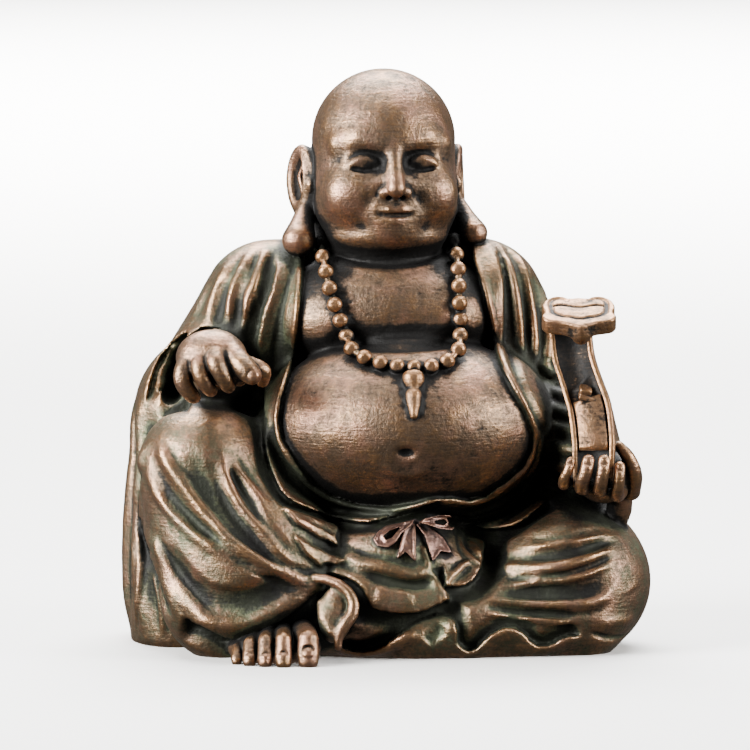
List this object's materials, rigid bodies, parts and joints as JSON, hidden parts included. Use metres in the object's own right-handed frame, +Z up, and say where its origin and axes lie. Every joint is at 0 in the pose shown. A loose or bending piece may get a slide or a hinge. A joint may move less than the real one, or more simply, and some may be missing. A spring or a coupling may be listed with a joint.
{
  "type": "seated budai figure",
  "caption": "Seated bald monk with a bare round belly, one knee raised under a draped robe, a bead string and a cloud-headed sceptre in the left hand.",
  "frame": {"origin": "on the flat underside, below the middle of the figure's box", "axes": "+Z up; the figure faces -Y; +X is to the figure's left"},
  "size_m": [0.1478, 0.1164, 0.16],
  "materials": {
    "bronze": "dark antique bronze, dry-brushed on the high places, with a faint green and copper wash in the folds"
  },
  "bodies": {
    "root": {"budai_figure": "bronze"}
  },
  "joints": []
}
